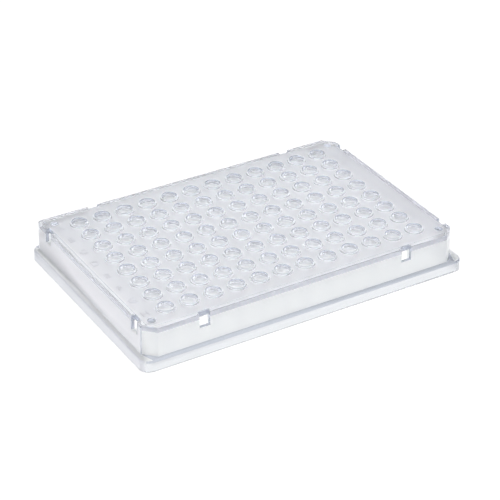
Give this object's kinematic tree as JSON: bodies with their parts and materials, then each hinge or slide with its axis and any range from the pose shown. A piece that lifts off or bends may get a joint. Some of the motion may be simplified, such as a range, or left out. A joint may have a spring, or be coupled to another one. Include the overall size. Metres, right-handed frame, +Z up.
{
  "type": "well plate",
  "caption": "Clear moulded laboratory plate: a grid of conical wells with raised round mouths in a flat deck, on a full skirt with a foot, notched edges and cut corners.",
  "frame": {"origin": "middle of the base, on the surface that the plate stands on", "axes": "+Z up, +X along the rows of twelve wells from column 1 to column 12, +Y along the columns from row H to row A"},
  "size_m": [0.1278, 0.0854, 0.0158],
  "materials": {
    "clear_plastic": "clear, faintly hazy moulded polymer with a cool tint"
  },
  "bodies": {
    "root": {"plate": "clear_plastic"}
  },
  "joints": []
}
